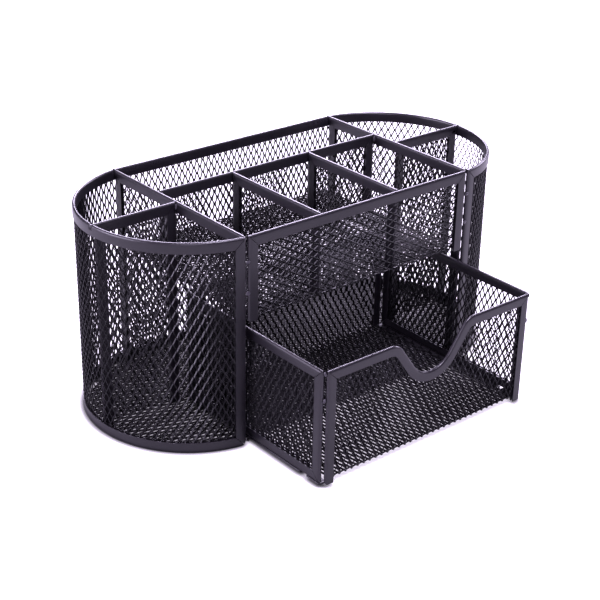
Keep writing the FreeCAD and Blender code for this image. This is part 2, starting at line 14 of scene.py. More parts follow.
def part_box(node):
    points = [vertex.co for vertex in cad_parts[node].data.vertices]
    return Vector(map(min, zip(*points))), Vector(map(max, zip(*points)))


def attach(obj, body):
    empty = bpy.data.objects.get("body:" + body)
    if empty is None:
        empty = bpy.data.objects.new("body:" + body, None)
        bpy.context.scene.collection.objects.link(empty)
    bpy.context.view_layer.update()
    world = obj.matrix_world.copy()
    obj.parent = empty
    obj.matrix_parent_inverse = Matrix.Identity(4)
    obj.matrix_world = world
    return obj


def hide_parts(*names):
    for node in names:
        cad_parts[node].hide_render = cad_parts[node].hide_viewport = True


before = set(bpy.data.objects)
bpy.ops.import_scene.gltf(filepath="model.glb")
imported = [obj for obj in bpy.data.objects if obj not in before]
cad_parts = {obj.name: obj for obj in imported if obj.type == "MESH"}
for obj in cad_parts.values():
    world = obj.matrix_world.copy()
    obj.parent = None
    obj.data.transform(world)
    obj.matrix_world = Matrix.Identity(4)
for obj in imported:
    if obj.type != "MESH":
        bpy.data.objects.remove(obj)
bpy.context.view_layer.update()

MM = 0.001
UP = Vector((0, 0, 1))
RIGHT = Vector((1, 0, 0))
REAR = Vector((0, 1, 0))

# ---- Sizes read from the frame -----------------------------------------------------


def low(node, axis):
    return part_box(node)[0][axis]


def high(node, axis):
    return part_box(node)[1][axis]


def middle(node, axis):
    return (low(node, axis) + high(node, axis)) / 2


CHANNEL = high("left_cross_divider_top_rim", 0) - low("left_cross_divider_top_rim", 0)
HALF_CHANNEL = CHANNEL / 2
BODY_TOP = high("left_outer_top_rim", 2)
FRONT_Y = middle("front_panel_top_rim", 1)
BACK_Y = high("left_outer_top_rim", 1) - HALF_CHANNEL
BODY_Y = (FRONT_Y + BACK_Y) / 2
DIVIDER_X = middle("right_cross_divider_top_rim", 0)
END_TIP_X = high("right_outer_bottom_rim", 0) - HALF_CHANNEL
SEAM_GAP = low("right_outer_top_rim", 0) - high("left_outer_top_rim", 0)
SEAM_X = high("left_outer_top_rim", 0) + SEAM_GAP / 2
SHELF_TOP = low("long_divider_left_band", 2)
SHELF_SHEET = 0.8 * MM
FLOOR_Z = middle("floor_mesh", 2)
DRAWER_BACK_Y = middle("drawer_back_rim", 1)
DRAWER_FRONT_Y = middle("drawer_front_notched_rim", 1)
DRAWER_TOP = high("drawer_front_notched_rim", 2)
DRAWER_INNER = high("drawer_front_notched_rim", 0)
DRAWER_BASE = low("drawer_left_side_foot_rim", 2)

# ---- Sizes of the folded channel ---------------------------------------------------

CHANNEL_DEPTH = 5.2 * MM
DRAWER_CHANNEL_DEPTH = 4.7 * MM
CHANNEL_WALL = 0.5 * MM
FOLD_HEIGHT = 1.12 * MM
FOLD_THICKNESS = 1.1 * MM
MITRE_GAP = 0.17 * MM
REAR_BEND_RADIUS = 8 * MM
POST_CORNER = 3 * MM
BAND_CORNER = 1.5 * MM
LAP_DEPTH = 2.6 * MM
LAP_CLEARANCE = 0.3 * MM
FEET_CORNER = 1.2 * MM
RUNNER_WALL_SHARE = 0.4
SHARP_EDGE = math.radians(40)
CUT_REACH = 20 * MM
INNER_FOLD_SHARE = 0.4

# ---- Sizes of the expanded mesh ----------------------------------------------------

LONG_PITCH = 6.55 * MM
SHORT_PITCH = 3.65 * MM
BOND_LENGTH = 0.5 * MM
STRAND_WIDTH = 0.8 * MM
STRAND_THICKNESS = 0.42 * MM
STRAND_TILT = math.radians(38)
STRAND_EDGE = 0.1 * MM
DRAWER_STRAND_WIDTH = 1.0 * MM
BOND_SHARE = 0.92
SEATED = 1.4 * MM
SHEET_GAP = 0.3 * MM
FLOOR_GAP = 0.2 * MM
SHELF_GAP = 0.5 * MM
RAY_LENGTH = 2.0
FLAT_TILT = math.radians(6)

# ---- Notch, folds and runners of the drawer ----------------------------------------

NOTCH_DEPTH = 20.3 * MM
NOTCH_HALF_WIDTH = 26 * MM
NOTCH_FLANK = math.radians(55)
NOTCH_SHOULDER = 9 * MM
SHELF_BEND = 2.4 * MM
SHELF_NECK = 5 * MM
DRAWER_BEND = 2.6 * MM
DRAWER_NECK_FROM = 0.6 * MM
DRAWER_NECK_TO = 1.2 * MM
DRAWER_FLOOR_GAP = 0.7 * MM
ARC_STEP = 1.0 * MM
WALL_STEP = 2.5 * MM

# ---- Spot welds and finishes --------------------------------------------------------

LUMP_GROWTH = 1.05
LUMP_LEVELS = 3
LUMP_TURN = 0.2
LUMP_GRAIN = 900.0
SAME_SPOT = 0.001 * MM
COAT_IOR = 1.5
GRAIN_DETAIL = 3.0
GRAIN_ROUGHNESS = 0.6
DRIFT_SCALE = 55.0
DRIFT_ROUGHNESS = 0.55
GRIT_IN_SHEEN = 0.5
GRIT_IN_SHADE = 0.6
PEEL_SHARE = 0.7
PEEL_HEIGHT = 0.06 * MM
DUST_GAIN = 3
DUST_ROUGHNESS = 0.5
STREAK_SCALE = 160.0
STREAK_GAIN = 1.6
# Paler coat on channel crests: partly rubbed wear, partly a painted highlight.
CREST_WEAR_AND_SHEEN_COLOUR = (0.04, 0.036, 0.045, 1)
CREST_WEAR_AND_PAINTED_SHEEN = 0.35
RUBBED_SHINE = 0.1


# ---- Node building -----------------------------------------------------------------


class Field:
    """A node's output that adds, multiplies and so on by making Math nodes."""

    def __init__(self, graph, socket):
        self.graph = graph
        self.socket = socket

    def __add__(self, other):
        return self.graph.math("ADD", self, other)

    __radd__ = __add__

    def __sub__(self, other):
        return self.graph.math("SUBTRACT", self, other)

    def __rsub__(self, other):
        return self.graph.math("SUBTRACT", other, self)

    def __mul__(self, other):
        return self.graph.math("MULTIPLY", self, other)

    __rmul__ = __mul__

    def __truediv__(self, other):
        return self.graph.math("DIVIDE", self, other)

    def __neg__(self):
        return self.graph.math("MULTIPLY", self, -1.0)


class Graph:
    """Adds nodes to a tree and wires them."""

    def __init__(self, tree):
        self.tree = tree
        self.group_in = tree.nodes.new("NodeGroupInput")

    def feed(self, socket, value):
        if isinstance(value, Field):
            value = value.socket
        if isinstance(value, bpy.types.NodeSocket):
            self.tree.links.new(value, socket)
        elif value is not None:
            socket.default_value = value

    def node(self, kind, *values, **settings):
        made = self.tree.nodes.new(kind)
        for name, value in settings.items():
            setattr(made, name, value)
        for socket, value in zip([socket for socket in made.inputs if socket.enabled], values):
            self.feed(socket, value)
        return made

    def field(self, kind, *values, output=None, **settings):
        made = self.node(kind, *values, **settings)
        shown = [socket for socket in made.outputs if socket.enabled]
        chosen = shown[0] if output is None else next(s for s in shown if s.name == output)
        return Field(self, chosen)

    def math(self, operation, *values):
        return self.field("ShaderNodeMath", *values, operation=operation)

    def vector(self, operation, *values):
        return self.field("ShaderNodeVectorMath", *values, operation=operation)

    def scaled(self, vector, amount):
        made = self.vector("SCALE", vector)
        self.feed(made.socket.node.inputs["Scale"], amount)
        return made

    def combine(self, x, y, z):
        return self.field("ShaderNodeCombineXYZ", x, y, z)

    def split(self, vector):
        made = self.node("ShaderNodeSeparateXYZ", vector)
        return [Field(self, socket) for socket in made.outputs]

    def switch(self, kind, test, if_false, if_true):
        return self.field("GeometryNodeSwitch", test, if_false, if_true, input_type=kind)

    def given(self, name):
        return Field(self, self.group_in.outputs[name])

    def finish(self, geometry):
        end = self.tree.nodes.new("NodeGroupOutput")
        self.feed(end.inputs[0], geometry)


def geometry_tree(name, inputs):
    """An empty tree for a modifier, with named inputs given as (name, socket kind, value)."""
    tree = bpy.data.node_groups.new(name, "GeometryNodeTree")
    tree.interface.new_socket("Geometry", in_out="OUTPUT", socket_type="NodeSocketGeometry")
    tree.interface.new_socket("Path", in_out="INPUT", socket_type="NodeSocketGeometry")
    for label, kind, value in inputs:
        socket = tree.interface.new_socket(label, in_out="INPUT", socket_type="NodeSocket" + kind)
        if value is not None:
            socket.default_value = value
    return Graph(tree)


def expanded_mesh_tree():
    """Rows of strands that zigzag along the sheet's long way, touch at their bonds, and follow a path."""
    g = geometry_tree("expanded mesh", [
        ("Region", "Object", None),
        ("Across", "Vector", (0, 0, 1)),
        ("Anchor", "Vector", (0, 0, 0)),
        ("Long Way Along Path", "Bool", False),
        ("Long Pitch", "Float", LONG_PITCH),
        ("Short Pitch", "Float", SHORT_PITCH),
        ("Bond Length", "Float", BOND_LENGTH),
        ("Strand Width", "Float", STRAND_WIDTH),
        ("Strand Thickness", "Float", STRAND_THICKNESS),
        ("Strand Tilt", "Float", STRAND_TILT),
        ("Strand Edge", "Float", STRAND_EDGE),
        ("Finish", "Material", None),
    ])
    along = g.given("Long Way Along Path")
    region = g.field("GeometryNodeObjectInfo", g.given("Region"), output="Geometry")
    box = g.node("GeometryNodeBoundBox", region)
    least = g.split(box.outputs["Min"])
    most = g.split(box.outputs["Max"])
    long_low = g.switch("FLOAT", along, least[1], least[0])
    long_high = g.switch("FLOAT", along, most[1], most[0])
    short_low = g.switch("FLOAT", along, least[0], least[1])
    short_high = g.switch("FLOAT", along, most[0], most[1])
    half_long = g.given("Long Pitch") / 2
    half_short = g.given("Short Pitch") / 2
    anchor = g.split(g.given("Anchor"))
    long_mid = g.switch("FLOAT", along, anchor[1], anchor[0])
    short_mid = g.switch("FLOAT", along, anchor[0], anchor[1])

    long_far = g.math("MAXIMUM", long_high - long_mid, long_mid - long_low)
    short_far = g.math("MAXIMUM", short_high - short_mid, short_mid - short_low)
    bond_reach = g.math("CEIL", long_far / half_long)
    row_reach = g.math("CEIL", short_far / half_short)
    bonds = bond_reach * 2 + 1
    rows = row_reach * 2 + 1
    row_line = g.field("GeometryNodeMeshLine", bonds * 2)
    row_starts = g.field("GeometryNodeMeshLine", rows)
    all_rows = g.field("GeometryNodeInstanceOnPoints", row_starts, None, row_line)
    lines = g.field("GeometryNodeRealizeInstances", all_rows)

    index = g.field("GeometryNodeInputIndex")
    per_row = bonds * 2
    row_at = g.math("FLOOR", (index + 0.5) / per_row)
    station = index - row_at * per_row
    bond_at = g.math("FLOOR", (station + 0.5) / 2)
    side = station - bond_at * 2
    bond = bond_at - bond_reach
    row = row_at - row_reach
    parity = g.math("FLOORED_MODULO", bond + row, 2.0)
    sign = 1 - parity * 2
    tilt = g.given("Strand Tilt")
    lean = g.math("COSINE", tilt)
    rise = g.math("SINE", tilt)
    half_step = g.given("Strand Width") * (BOND_SHARE / 2)
    swing = g.given("Short Pitch") / 4 - half_step * lean
    long_at = long_mid + bond * half_long + (side - 0.5) * g.given("Bond Length")
    short_at = short_mid + row * half_short + sign * swing
    raised = -(sign * half_step * rise)
    flat = g.combine(
        g.switch("FLOAT", along, short_at, long_at), g.switch("FLOAT", along, long_at, short_at), raised)
    laid = g.field("GeometryNodeSetPosition", lines, None, flat)

    place = g.field("GeometryNodeInputPosition")
    path_at, across_at, off_at = g.split(place)
    above = g.combine(path_at, across_at, RAY_LENGTH / 2)
    inside = g.field("GeometryNodeRaycast", region, None, above, (0, 0, -1), RAY_LENGTH, output="Is Hit")
    outside = g.field("FunctionNodeBooleanMath", inside, operation="NOT")
    trimmed = g.field("GeometryNodeDeleteGeometry", laid, outside, domain="POINT", mode="ALL")

    path = g.field("GeometryNodeMeshToCurve", g.given("Path"))
    sample = g.node("GeometryNodeSampleCurve", path, None, path_at, mode="LENGTH")
    spot = Field(g, sample.outputs["Position"])
    tangent = Field(g, sample.outputs["Tangent"])
    across = g.given("Across")
    normal = g.vector("NORMALIZE", g.vector("CROSS_PRODUCT", tangent, across))
    short_way = g.switch("VECTOR", along, tangent, across)
    width_way = g.vector("ADD", g.scaled(short_way, lean), g.scaled(normal, rise))
    named = g.field(
        "GeometryNodeStoreNamedAttribute", trimmed, None, "width way", width_way,
        data_type="FLOAT_VECTOR", domain="POINT")
    bent_to = g.vector("ADD", g.vector("ADD", spot, g.scaled(across, across_at)), g.scaled(normal, off_at))
    bent = g.field("GeometryNodeSetPosition", named, None, bent_to)

    strands = g.field("GeometryNodeMeshToCurve", bent)
    way = g.field("GeometryNodeInputNamedAttribute", "width way", data_type="FLOAT_VECTOR")
    heading = g.field("GeometryNodeInputTangent")
    dot = g.field("ShaderNodeVectorMath", heading, way, operation="DOT_PRODUCT", output="Value")
    square = g.vector("NORMALIZE", g.vector("SUBTRACT", way, g.scaled(heading, dot)))
    turned = g.field("GeometryNodeSetCurveNormal", strands, None, square, mode="FREE")
    square_section = g.field(
        "GeometryNodeCurvePrimitiveQuadrilateral", g.given("Strand Width"), g.given("Strand Thickness"))
    section = g.node("GeometryNodeFilletCurve", mode="POLY")
    g.feed(section.inputs["Curve"], square_section)
    g.feed(section.inputs["Radius"], g.given("Strand Edge"))
    section = Field(g, section.outputs["Curve"])
    solid = g.field("GeometryNodeCurveToMesh", turned, section, None, True)
    crisp = g.field("GeometryNodeSetShadeSmooth", solid, None, False, domain="FACE")
    whole = g.field("GeometryNodeRealizeInstances", crisp)
    g.finish(g.field("GeometryNodeSetMaterial", whole, None, g.given("Finish")))
    return g.tree


def channel_tree():
    """Folded channel along the line of its crest, with its legs towards the path's inward arrows.

    Each end is cut square, to a mitre, to a flat step or to a rounded corner. A cut grows with the
    depth below the crest, and rings near an end move with it, so a curved channel stays smooth."""
    ends = [
        (f"{end} {cut}", "Float", value)
        for end in ("Start", "End")
        for cut, value in (("Mitre", 0.0), ("Gap", 0.0), ("Flat", -1.0), ("Corner", 0.0))
    ]
    g = geometry_tree("folded channel", [
        ("Depth", "Float", CHANNEL_DEPTH),
        ("Width", "Float", CHANNEL),
        ("Wall", "Float", CHANNEL_WALL),
        ("Fold Height", "Float", FOLD_HEIGHT),
        ("Fold Thickness", "Float", FOLD_THICKNESS),
        ("Leg Points", "Int", 3),
        ("Fold Points", "Int", 9),
        ("Bow", "Float", 0.0),
        ("Cut Reach", "Float", CUT_REACH),
        ("Finish", "Material", None),
        *ends,
    ])
    legs = g.given("Leg Points")
    folds = g.given("Fold Points")
    depth = g.given("Depth")
    per_side = legs * 2 + folds
    last = per_side - 1
    index = g.field("GeometryNodeInputIndex")
    inner = g.math("GREATER_THAN", index, last + 0.5)
    turned_back = per_side * 2 - 1 - index
    step = index + inner * (turned_back - index)
    turn = g.field("ShaderNodeClamp", (step - legs) / (last - legs * 2), 0.0, 1.0) * math.pi
    up_leg = g.math("MAXIMUM", legs - step, 0.0) + g.math("MAXIMUM", step - (last - legs), 0.0)
    half = g.given("Width") / 2 - inner * g.given("Wall")
    crest = inner * g.given("Fold Thickness")
    across = half * g.math("COSINE", turn)
    fold_height = g.given("Fold Height") * (1 - inner * (1 - INNER_FOLD_SHARE))
    arc_depth = crest + fold_height * (1 - g.math("SINE", turn))
    down = arc_depth + (depth - arc_depth) * up_leg / legs
    ring = g.field("GeometryNodeMeshLine", per_side * 2)
    ring = g.field("GeometryNodeSetPosition", ring, None, g.combine(across, down, 0.0))
    section = g.field("GeometryNodeSetSplineCyclic", g.field("GeometryNodeMeshToCurve", ring), None, True)
    section = g.node("GeometryNodeCaptureAttribute", section, domain="POINT")
    section.capture_items.new("VECTOR", "Section")
    g.feed(section.inputs["Section"], g.field("GeometryNodeInputPosition"))

    path = g.field("GeometryNodeMeshToCurve", g.given("Path"))
    length = g.field("GeometryNodeCurveLength", path)
    measured = g.node("GeometryNodeCaptureAttribute", path, domain="POINT")
    measured.capture_items.new("FLOAT", "Travel")
    g.feed(measured.inputs["Travel"], g.field("GeometryNodeSplineParameter", output="Length"))
    swept = g.field(
        "GeometryNodeCurveToMesh", measured.outputs["Geometry"], section.outputs["Geometry"], None, True)

    travel = Field(g, measured.outputs["Travel"])
    side_at, down_at, _ = g.split(section.outputs["Section"])

    def cut(end):
        radius = g.given(end + " Corner")
        rest = g.math("MAXIMUM", radius - down_at, 0.0)
        corner = radius - g.math("SQRT", g.math("MAXIMUM", radius * radius - rest * rest, 0.0))
        corner = corner - g.math("LESS_THAN", radius, 1e-6)
        slope = g.given(end + " Gap") + g.given(end + " Mitre") * down_at
        return g.math("MAXIMUM", g.math("MAXIMUM", slope, g.given(end + " Flat")), corner)

    zone = g.math("MINIMUM", g.given("Cut Reach"), length)
    near_start = g.math("MAXIMUM", 1 - travel / zone, 0.0)
    near_end = g.math("MAXIMUM", 1 - (length - travel) / zone, 0.0)
    wanted = travel + cut("Start") * near_start - cut("End") * near_end
    kept = g.field("ShaderNodeClamp", wanted, 0.0, length)
    inward_arrow = g.field("GeometryNodeInputNamedAttribute", "inward", data_type="FLOAT_VECTOR")
    sample = g.node(
        "GeometryNodeSampleCurve", path, inward_arrow, kept, mode="LENGTH", data_type="FLOAT_VECTOR")
    tangent = Field(g, sample.outputs["Tangent"])
    inward = g.vector("NORMALIZE", sample.outputs["Value"])
    sideways = g.vector("NORMALIZE", g.vector("CROSS_PRODUCT", tangent, inward))

    bow = g.given("Bow") * down_at * down_at
    place = g.vector("ADD", sample.outputs["Position"], g.scaled(tangent, wanted - kept))
    place = g.vector("ADD", place, g.scaled(sideways, side_at + bow))
    place = g.vector("ADD", place, g.scaled(inward, down_at))
    shaped = g.field("GeometryNodeSetPosition", swept, None, place)
    fold = g.field(
        "GeometryNodeStoreNamedAttribute", shaped, None, "fold", down_at / depth,
        data_type="FLOAT", domain="POINT")
    smooth = g.field("GeometryNodeSetShadeSmooth", fold, None, True, domain="FACE")
    edge_angle = g.field("GeometryNodeInputMeshEdgeAngle", output="Unsigned Angle")
    sharp = g.math("GREATER_THAN", edge_angle, SHARP_EDGE)
    crisp = g.field("GeometryNodeSetShadeSmooth", smooth, sharp, False, domain="EDGE")
    whole = g.field("GeometryNodeRealizeInstances", crisp)
    g.finish(g.field("GeometryNodeSetMaterial", whole, None, g.given("Finish")))
    return g.tree


def weld_tree():
    """A lump of weld metal on each point of a cloud, each with its own size and turn."""
    g = geometry_tree("weld lumps", [
        ("Roughness", "Float", 0.28),
        ("Seed", "Int", 4),
        ("Finish", "Material", None),
    ])
    points = g.given("Path")
    ball = g.field("GeometryNodeMeshIcoSphere", 0.5, LUMP_LEVELS, output="Mesh")
    size = g.field("GeometryNodeInputNamedAttribute", "size", data_type="FLOAT_VECTOR")
    turn = g.field(
        "FunctionNodeRandomValue", [-LUMP_TURN] * 3, [LUMP_TURN] * 3, None, g.given("Seed"),
        data_type="FLOAT_VECTOR")
    turned = g.field("FunctionNodeEulerToRotation", turn)
    lumps = g.field("GeometryNodeInstanceOnPoints", points, None, ball, None, None, turned, size)
    whole = g.field("GeometryNodeRealizeInstances", lumps)
    place = g.field("GeometryNodeInputPosition")
    unevenness = g.field("ShaderNodeTexNoise", place, LUMP_GRAIN, 2.0, output="Fac")
    push = (unevenness - 0.5) * g.given("Roughness") * MM
    out = g.scaled(g.field("GeometryNodeInputNormal"), push)
    lumpy = g.field("GeometryNodeSetPosition", whole, None, None, out)
    smooth = g.field("GeometryNodeSetShadeSmooth", lumpy, None, True, domain="FACE")
    g.finish(g.field("GeometryNodeSetMaterial", smooth, None, g.given("Finish")))
    return g.tree


# ---- Finishes ----------------------------------------------------------------------


def shader_group(name, inputs, outputs):
    tree = bpy.data.node_groups.new(name, "ShaderNodeTree")
    for label, kind, value in inputs:
        socket = tree.interface.new_socket(label, in_out="INPUT", socket_type="NodeSocket" + kind)
        if value is not None:
            socket.default_value = value
    for label, kind in outputs:
        tree.interface.new_socket(label, in_out="OUTPUT", socket_type="NodeSocket" + kind)
    return Graph(tree)


def powder_coat_group():
    """Orange peel and grit of baked powder, with slow changes in sheen and shade."""
    g = shader_group(
        "powder coat",
        [
            ("Vector", "Vector", None), ("Peel Scale", "Float", 1100.0), ("Grit Scale", "Float", 5200.0),
            ("Sheen", "Float", 0.4), ("Sheen Spread", "Float", 0.12),
            ("Coat", "Color", (0.03, 0.027, 0.034, 1)), ("Shade Spread", "Float", 0.25),
        ],
        [("Color", "Color"), ("Roughness", "Float"), ("Height", "Float")],
    )
    place = g.given("Vector")
    peel = g.field("ShaderNodeTexNoise", place, g.given("Peel Scale"), 2.0, 0.5, output="Fac")
    grit = g.field("ShaderNodeTexNoise", place, g.given("Grit Scale"), 1.0, 0.5, output="Fac")
    drift = g.field("ShaderNodeTexNoise", place, DRIFT_SCALE, GRAIN_DETAIL, DRIFT_ROUGHNESS, output="Fac")
    slow = drift - 0.5
    fine = grit - 0.5
    rough = g.given("Sheen") + (slow + fine * GRIT_IN_SHEEN) * g.given("Sheen Spread")
    shade = 1 + (slow + fine * GRIT_IN_SHADE) * g.given("Shade Spread")
    colour = g.scaled(g.given("Coat"), shade)
    end = g.tree.nodes.new("NodeGroupOutput")
    g.feed(end.inputs["Color"], colour)
    g.feed(end.inputs["Roughness"], rough)
    g.feed(end.inputs["Height"], peel * PEEL_SHARE + grit * (1 - PEEL_SHARE))
    return g.tree


def settled_dust_group():
    """Pale dust and lint that gather on faces turned upwards."""
    g = shader_group(
        "settled dust",
        [("Vector", "Vector", None), ("Color", "Color", None), ("Dust", "Color", (0.3, 0.29, 0.3, 1)),
         ("Amount", "Float", 0.06), ("Scale", "Float", 420.0)],
        [("Color", "Color"), ("Mask", "Float")],
    )
    normal = g.split(g.field("ShaderNodeNewGeometry", output="Normal"))
    specks = g.field(
        "ShaderNodeTexNoise", g.given("Vector"), g.given("Scale"), GRAIN_DETAIL, GRAIN_ROUGHNESS,
        output="Fac")
    upward = g.math("MAXIMUM", normal[2], 0.0)
    mask = upward * upward * specks * specks * g.given("Amount") * DUST_GAIN
    dusted = g.field("ShaderNodeMix", mask, g.given("Color"), g.given("Dust"), data_type="RGBA")
    end = g.tree.nodes.new("NodeGroupOutput")
    g.feed(end.inputs["Color"], dusted)
    g.feed(end.inputs["Mask"], mask)
    return g.tree


def crest_wear_and_sheen_group():
    """Where hands polish the coat: along the crest of a fold, in broken streaks. The paleness it gives is
    partly wear and partly a painted highlight along the crest.
    """
    g = shader_group(
        "crest wear and sheen",
        [("Vector", "Vector", None), ("Fold", "Float", 1.0), ("Reach", "Float", 0.18)],
        [("Mask", "Float")],
    )
    streaks = g.field(
        "ShaderNodeTexNoise", g.given("Vector"), STREAK_SCALE, GRAIN_DETAIL, GRAIN_ROUGHNESS,
        output="Fac")
    near = g.math("MAXIMUM", 1 - g.given("Fold") / g.given("Reach"), 0.0)
    end = g.tree.nodes.new("NodeGroupOutput")
    g.feed(end.inputs["Mask"], g.math("MINIMUM", near * streaks * STREAK_GAIN, 1.0))
    return g.tree


def coated_steel(name, coat, sheen, peel, bump, dust, gloss=0.5, folded=False):
    """Black powder coat; on channel, the crest of the fold is rubbed a little smoother, and paler with wear
    and a painted highlight.
    """
    material = bpy.data.materials.new(name)
    material.use_nodes = True
    tree = material.node_tree
    tree.nodes.clear()
    g = Graph(tree)
    tree.nodes.remove(g.group_in)
    place = g.field("ShaderNodeTexCoord", output="Object")
    powder = g.node("ShaderNodeGroup", node_tree=POWDER_COAT)
    for label, value in (("Vector", place), ("Coat", (*coat, 1)), ("Sheen", sheen), ("Peel Scale", peel)):
        g.feed(powder.inputs[label], value)
    colour = Field(g, powder.outputs["Color"])
    rough = Field(g, powder.outputs["Roughness"])
    if folded:
        crest_wear_and_sheen_node = g.node("ShaderNodeGroup", node_tree=CREST_WEAR_AND_SHEEN)
        g.feed(crest_wear_and_sheen_node.inputs["Vector"], place)
        g.feed(crest_wear_and_sheen_node.inputs["Fold"], g.field("ShaderNodeAttribute", output="Fac", attribute_name="fold"))
        mask = Field(g, crest_wear_and_sheen_node.outputs["Mask"])
        # Crest of the fold: smoother from rubbing, and paler, partly from wear and partly as a painted
        # highlight.
        rough = rough - mask * RUBBED_SHINE
        colour = g.field("ShaderNodeMix", mask * CREST_WEAR_AND_PAINTED_SHEEN, colour, CREST_WEAR_AND_SHEEN_COLOUR, data_type="RGBA")
    settled = g.node("ShaderNodeGroup", node_tree=SETTLED_DUST)
    g.feed(settled.inputs["Vector"], place)
    g.feed(settled.inputs["Color"], colour)
    g.feed(settled.inputs["Amount"], dust)
    rough = rough + Field(g, settled.outputs["Mask"]) * DUST_ROUGHNESS
    bumps = g.node("ShaderNodeBump")
    bumps.inputs["Strength"].default_value = bump
    bumps.inputs["Distance"].default_value = PEEL_HEIGHT
    g.feed(bumps.inputs["Height"], powder.outputs["Height"])
    shader = g.node("ShaderNodeBsdfPrincipled")
    g.feed(shader.inputs["Base Color"], settled.outputs["Color"])
    g.feed(shader.inputs["Roughness"], rough)
    g.feed(shader.inputs["Normal"], bumps.outputs["Normal"])
    shader.inputs["IOR"].default_value = COAT_IOR
    shader.inputs["Specular IOR Level"].default_value = gloss
    end = g.node("ShaderNodeOutputMaterial")
    g.feed(end.inputs["Surface"], shader.outputs["BSDF"])
    return material


POWDER_COAT = powder_coat_group()
SETTLED_DUST = settled_dust_group()
CREST_WEAR_AND_SHEEN = crest_wear_and_sheen_group()
MESH_COAT = coated_steel(
    "mesh_coat", (0.0035, 0.003, 0.0043), sheen=0.26, peel=1900.0, bump=0.15, dust=0.02, gloss=0.29)
CHANNEL_COAT = coated_steel(
    "channel_coat", (0.0085, 0.0073, 0.0102), sheen=0.34, peel=1100.0, bump=0.12, dust=0.03, folded=True)
WELD_COAT = coated_steel("weld_coat", (0.04, 0.036, 0.046), sheen=0.28, peel=1400.0, bump=0.3, dust=0.02)

EXPANDED_MESH = expanded_mesh_tree()
FOLDED_CHANNEL = channel_tree()
WELD_LUMPS = weld_tree()


# ---- Turning trees into plain pieces ------------------------------------------------


def flat_object(name, points, edges=(), faces=()):
    mesh = bpy.data.meshes.new(name)
    mesh.from_pydata([tuple(point) for point in points], edges, faces)
    made = bpy.data.objects.new(name, mesh)
    bpy.context.scene.collection.objects.link(made)
    return made


def chain(points):
    return [(index, index + 1) for index in range(len(points) - 1)]


def arrows(obj, name, vectors):
    attribute = obj.data.attributes.new(name, "FLOAT_VECTOR", "POINT")
    attribute.data.foreach_set("vector", np.asarray([tuple(v) for v in vectors], np.float32).ravel())


def faced_out(mesh):
    """Turns a closed mesh's faces outwards if its volume comes out negative."""
    mesh.calc_loop_triangles()
    corners = np.empty(len(mesh.loop_triangles) * 3, np.int32)
    mesh.loop_triangles.foreach_get("vertices", corners)
    spots = np.empty(len(mesh.vertices) * 3)
    mesh.vertices.foreach_get("co", spots)
    a, b, c = spots.reshape(-1, 3)[corners].reshape(-1, 3, 3).transpose(1, 0, 2)
    if np.einsum("ij,ij->i", a, np.cross(b, c)).sum() < 0:
        mesh.flip_normals()


def settled(name, carrier, tree, settings, finish):
    """What a tree makes of its carrier, as a plain mesh with the tree's modifier gone."""
    modifier = carrier.modifiers.new("tree", "NODES")
    modifier.node_group = tree
    for label, value in {**settings, "Finish": finish}.items():
        modifier[tree.interface.items_tree[label].identifier] = value
    graph = bpy.context.evaluated_depsgraph_get()
    mesh = bpy.data.meshes.new_from_object(
        carrier.evaluated_get(graph), preserve_all_data_layers=True, depsgraph=graph)
    bpy.data.objects.remove(carrier)
    faced_out(mesh)
    mesh.name = name
    piece = bpy.data.objects.new(name, mesh)
    bpy.context.scene.collection.objects.link(piece)
    return piece


def joined(name, pieces):
    """One object from several."""
    first = pieces[0]
    if len(pieces) > 1:
        with bpy.context.temp_override(
            active_object=first, object=first, selected_objects=pieces, selected_editable_objects=pieces
        ):
            bpy.ops.object.join()
    first.name = name
    first.data.name = name
    return first


def fitted(piece, body, nodes):
    """Ties a finished piece to its body and hides the nodes that it stands for."""
    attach(piece, body)
    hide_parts(*nodes)
    return piece


def lattice(name, path, region, across, body, node, along=False, anchor=None, tilt=STRAND_TILT,
            strand_width=STRAND_WIDTH):
    """One sheet of expanded mesh. Its region is a flat outline: distance along the path, then across it.

    The anchor is the spot, measured in the same way, that the rows of strands are counted from."""
    if anchor is None:
        anchor = [(min(values) + max(values)) / 2 for values in zip(*region)]
    corners = [(p, q, 0) for p, q in region]
    outline = flat_object(name + "_region", corners, faces=[tuple(range(len(region)))])
    carrier = flat_object(name + "_path", path, chain(path))
    piece = settled(name, carrier, EXPANDED_MESH, {
        "Region": outline, "Across": tuple(across), "Anchor": (*anchor, 0.0), "Long Way Along Path": along,
        "Strand Tilt": tilt, "Strand Width": strand_width,
    }, MESH_COAT)
    bpy.data.objects.remove(outline)
    return fitted(piece, body, [node])


def upright(start, end, foot, top):
    """Outline of a plain sheet: its reach along the path, then its reach across it."""
    return [(start, foot), (end, foot), (end, top), (start, top)]


def channel(path, inward, depth=CHANNEL_DEPTH, **settings):
    """One run of folded channel along the crest of its fold; inward is an arrow, or one for each point."""
    carrier = flat_object("channel_run", path, chain(path))
    arrows(carrier, "inward", inward if isinstance(inward, list) else [inward] * len(path))
    labels = {key.replace("_", " ").title(): value for key, value in settings.items()}
    return settled("channel_run", carrier, FOLDED_CHANNEL, {"Depth": depth, **labels}, CHANNEL_COAT)


# ---- Lines in plan and in profile ---------------------------------------------------


def arc(centre, first, second, radius, start, turn, step=ARC_STEP):
    """Points on an arc in the plane of two unit arrows, from a start angle through a turn."""
    count = max(3, math.ceil(abs(turn) * radius / step))
    angles = [start + turn * index / count for index in range(count + 1)]
    return [centre + first * (radius * math.cos(a)) + second * (radius * math.sin(a)) for a in angles]


